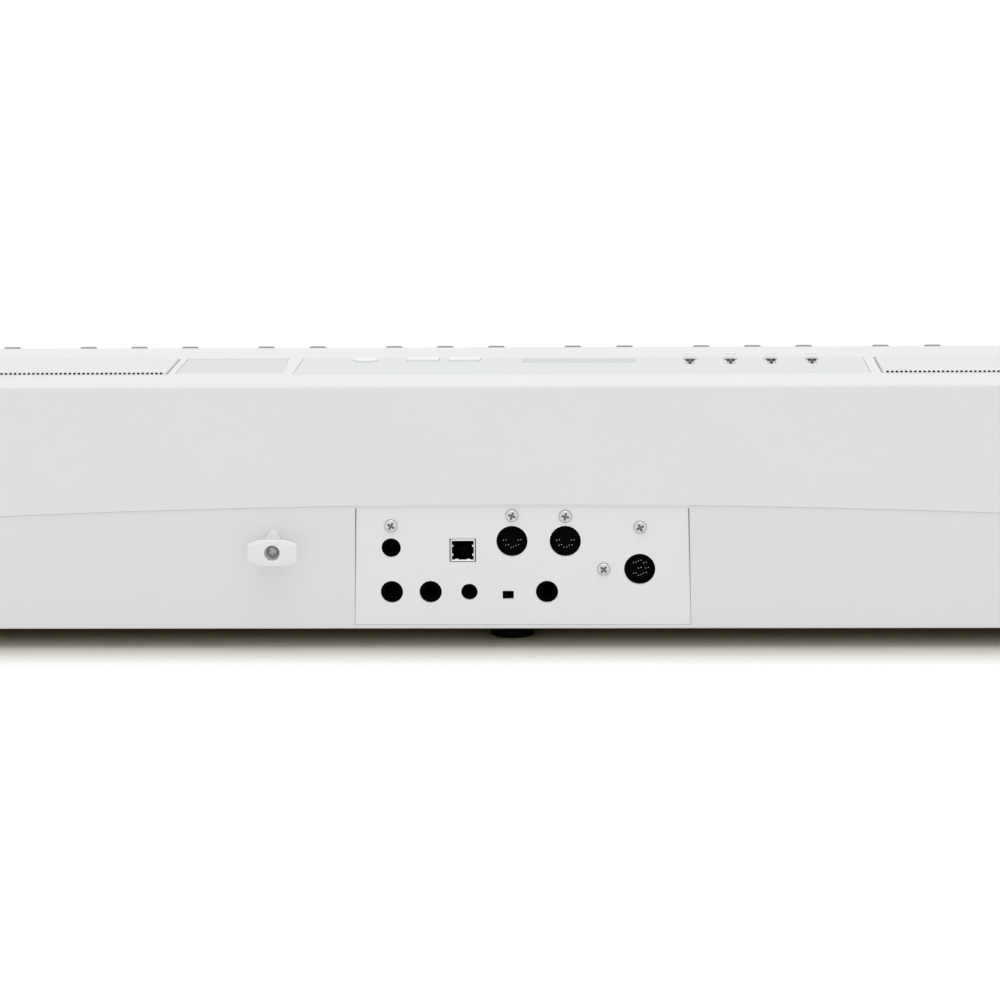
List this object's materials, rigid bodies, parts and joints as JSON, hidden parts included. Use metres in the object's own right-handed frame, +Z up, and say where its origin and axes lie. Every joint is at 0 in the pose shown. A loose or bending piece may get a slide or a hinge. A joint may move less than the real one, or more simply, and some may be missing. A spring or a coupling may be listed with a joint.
{
  "type": "portable digital piano",
  "caption": "Portable digital piano in a slim white slab case, with rear sockets, a cord clip, rubber feet, panel controls and hinged octave sets of full-size keys.",
  "frame": {"origin": "on the floor, under the middle of the whole instrument with its cord clip", "axes": "+X to the player's right along the keyboard, the keys face -Y and the rear wall +Y, +Z up"},
  "size_m": [1.333, 0.3046, 0.1342],
  "materials": {
    "white_plastic": "satin, finely textured",
    "panel_sheet": "smooth satin film, faintly blue",
    "display_glass": "clear smoked window",
    "key_white": "polished top",
    "key_black": "satin",
    "black_plastic": "satin",
    "speaker_black": "dull",
    "rubber": "dull",
    "bright_metal": "bright plated steel",
    "steel_sheet": "zinc plated",
    "board_green": "solder mask",
    "red_felt": "felt"
  },
  "bodies": {
    "case": {"upper_case": "white_plastic", "lower_case": "white_plastic", "end_block_left": "white_plastic", "end_block_right": "white_plastic", "key_slip": "white_plastic", "grille_left": "white_plastic", "grille_right": "white_plastic", "jack_plate": "white_plastic", "cord_clip": "white_plastic", "control_panel": "panel_sheet", "display_window": "display_glass", "phone_jack_1": "black_plastic", "phone_jack_2": "black_plastic", "phone_jack_3": "black_plastic", "dc_inlet": "black_plastic", "mini_jack": "black_plastic", "midi_socket_left": "black_plastic", "midi_socket_right": "black_plastic", "pedal_socket": "black_plastic", "switch_body": "black_plastic", "speaker_left": "speaker_black", "speaker_right": "speaker_black", "foot_rear_left": "rubber", "foot_rear_middle": "rubber", "foot_rear_right": "rubber", "foot_front_left": "rubber", "foot_front_right": "rubber", "contact_rubber": "rubber", "usb_port": "bright_metal", "key_frame": "steel_sheet", "main_board": "board_green", "jack_board": "board_green", "panel_board": "board_green", "contact_board": "board_green", "key_felt": "red_felt"},
    "slider_knob_1": {"slider_knob_1": "white_plastic"},
    "slider_knob_2": {"slider_knob_2": "white_plastic"},
    "slider_knob_3": {"slider_knob_3": "white_plastic"},
    "slider_knob_4": {"slider_knob_4": "white_plastic"},
    "select_button_left": {"select_button_left": "white_plastic"},
    "select_button_right": {"select_button_right": "white_plastic"},
    "power_button": {"power_button": "white_plastic"},
    "switch_knob": {"switch_knob": "black_plastic"},
    "low_whites": {"low_whites": "key_white"},
    "octave_1_whites": {"octave_1_whites": "key_white"},
    "octave_2_whites": {"octave_2_whites": "key_white"},
    "octave_3_whites": {"octave_3_whites": "key_white"},
    "octave_4_whites": {"octave_4_whites": "key_white"},
    "octave_5_whites": {"octave_5_whites": "key_white"},
    "octave_6_whites": {"octave_6_whites": "key_white"},
    "octave_7_whites": {"octave_7_whites": "key_white"},
    "top_c": {"top_c": "key_white"},
    "low_sharp": {"low_sharp": "key_black"},
    "octave_1_sharps": {"octave_1_sharps": "key_black"},
    "octave_2_sharps": {"octave_2_sharps": "key_black"},
    "octave_3_sharps": {"octave_3_sharps": "key_black"},
    "octave_4_sharps": {"octave_4_sharps": "key_black"},
    "octave_5_sharps": {"octave_5_sharps": "key_black"},
    "octave_6_sharps": {"octave_6_sharps": "key_black"},
    "octave_7_sharps": {"octave_7_sharps": "key_black"}
  },
  "joints": [
    {"name": "low_whites_press", "type": "hinge", "parent": "case", "child": "low_whites", "pos_m": [0, 0.04405, 0.096], "axis": [1, 0, 0], "range_deg": [0, 3], "stiffness_Nm_per_rad": 1.2, "springref_deg": -7.45},
    {"name": "low_sharp_press", "type": "hinge", "parent": "case", "child": "low_sharp", "pos_m": [0, 0.04405, 0.096], "axis": [1, 0, 0], "range_deg": [0, 3], "stiffness_Nm_per_rad": 0.45, "springref_deg": -6.88},
    {"name": "octave_1_whites_press", "type": "hinge", "parent": "case", "child": "octave_1_whites", "pos_m": [0, 0.04405, 0.096], "axis": [1, 0, 0], "range_deg": [0, 3], "stiffness_Nm_per_rad": 4, "springref_deg": -7.45},
    {"name": "octave_1_sharps_press", "type": "hinge", "parent": "case", "child": "octave_1_sharps", "pos_m": [0, 0.04405, 0.096], "axis": [1, 0, 0], "range_deg": [0, 3], "stiffness_Nm_per_rad": 2, "springref_deg": -6.88},
    {"name": "octave_2_whites_press", "type": "hinge", "parent": "case", "child": "octave_2_whites", "pos_m": [0, 0.04405, 0.096], "axis": [1, 0, 0], "range_deg": [0, 3], "stiffness_Nm_per_rad": 4, "springref_deg": -7.45},
    {"name": "octave_2_sharps_press", "type": "hinge", "parent": "case", "child": "octave_2_sharps", "pos_m": [0, 0.04405, 0.096], "axis": [1, 0, 0], "range_deg": [0, 3], "stiffness_Nm_per_rad": 2, "springref_deg": -6.88},
    {"name": "octave_3_whites_press", "type": "hinge", "parent": "case", "child": "octave_3_whites", "pos_m": [0, 0.04405, 0.096], "axis": [1, 0, 0], "range_deg": [0, 3], "stiffness_Nm_per_rad": 4, "springref_deg": -7.45},
    {"name": "octave_3_sharps_press", "type": "hinge", "parent": "case", "child": "octave_3_sharps", "pos_m": [0, 0.04405, 0.096], "axis": [1, 0, 0], "range_deg": [0, 3], "stiffness_Nm_per_rad": 2, "springref_deg": -6.88},
    {"name": "octave_4_whites_press", "type": "hinge", "parent": "case", "child": "octave_4_whites", "pos_m": [0, 0.04405, 0.096], "axis": [1, 0, 0], "range_deg": [0, 3], "stiffness_Nm_per_rad": 4, "springref_deg": -7.45},
    {"name": "octave_4_sharps_press", "type": "hinge", "parent": "case", "child": "octave_4_sharps", "pos_m": [0, 0.04405, 0.096], "axis": [1, 0, 0], "range_deg": [0, 3], "stiffness_Nm_per_rad": 2, "springref_deg": -6.88},
    {"name": "octave_5_whites_press", "type": "hinge", "parent": "case", "child": "octave_5_whites", "pos_m": [0, 0.04405, 0.096], "axis": [1, 0, 0], "range_deg": [0, 3], "stiffness_Nm_per_rad": 4, "springref_deg": -7.45},
    {"name": "octave_5_sharps_press", "type": "hinge", "parent": "case", "child": "octave_5_sharps", "pos_m": [0, 0.04405, 0.096], "axis": [1, 0, 0], "range_deg": [0, 3], "stiffness_Nm_per_rad": 2, "springref_deg": -6.88},
    {"name": "octave_6_whites_press", "type": "hinge", "parent": "case", "child": "octave_6_whites", "pos_m": [0, 0.04405, 0.096], "axis": [1, 0, 0], "range_deg": [0, 3], "stiffness_Nm_per_rad": 4, "springref_deg": -7.45},
    {"name": "octave_6_sharps_press", "type": "hinge", "parent": "case", "child": "octave_6_sharps", "pos_m": [0, 0.04405, 0.096], "axis": [1, 0, 0], "range_deg": [0, 3], "stiffness_Nm_per_rad": 2, "springref_deg": -6.88},
    {"name": "octave_7_whites_press", "type": "hinge", "parent": "case", "child": "octave_7_whites", "pos_m": [0, 0.04405, 0.096], "axis": [1, 0, 0], "range_deg": [0, 3], "stiffness_Nm_per_rad": 4, "springref_deg": -7.45},
    {"name": "octave_7_sharps_press", "type": "hinge", "parent": "case", "child": "octave_7_sharps", "pos_m": [0, 0.04405, 0.096], "axis": [1, 0, 0], "range_deg": [0, 3], "stiffness_Nm_per_rad": 2, "springref_deg": -6.88},
    {"name": "top_c_press", "type": "hinge", "parent": "case", "child": "top_c", "pos_m": [0, 0.04405, 0.096], "axis": [1, 0, 0], "range_deg": [0, 3], "stiffness_Nm_per_rad": 0.7, "springref_deg": -7.45},
    {"name": "slider_1_slide", "type": "slide", "parent": "case", "child": "slider_knob_1", "axis": [0, 1, 0], "range_m": [0, 0.016]},
    {"name": "slider_2_slide", "type": "slide", "parent": "case", "child": "slider_knob_2", "axis": [0, 1, 0], "range_m": [0, 0.016]},
    {"name": "slider_3_slide", "type": "slide", "parent": "case", "child": "slider_knob_3", "axis": [0, 1, 0], "range_m": [0, 0.016]},
    {"name": "slider_4_slide", "type": "slide", "parent": "case", "child": "slider_knob_4", "axis": [0, 1, 0], "range_m": [0, 0.016]},
    {"name": "select_button_left_press", "type": "slide", "parent": "case", "child": "select_button_left", "axis": [0, 0, -1], "range_m": [0, 0.0008], "stiffness_N_per_m": 300, "springref_m": -0.002},
    {"name": "select_button_right_press", "type": "slide", "parent": "case", "child": "select_button_right", "axis": [0, 0, -1], "range_m": [0, 0.0008], "stiffness_N_per_m": 300, "springref_m": -0.002},
    {"name": "power_button_press", "type": "slide", "parent": "case", "child": "power_button", "axis": [0, 0, -1], "range_m": [0, 0.0008], "stiffness_N_per_m": 300, "springref_m": -0.002},
    {"name": "switch_slide", "type": "slide", "parent": "case", "child": "switch_knob", "axis": [-1, 0, 0], "range_m": [0, 0.0024]}
  ]
}
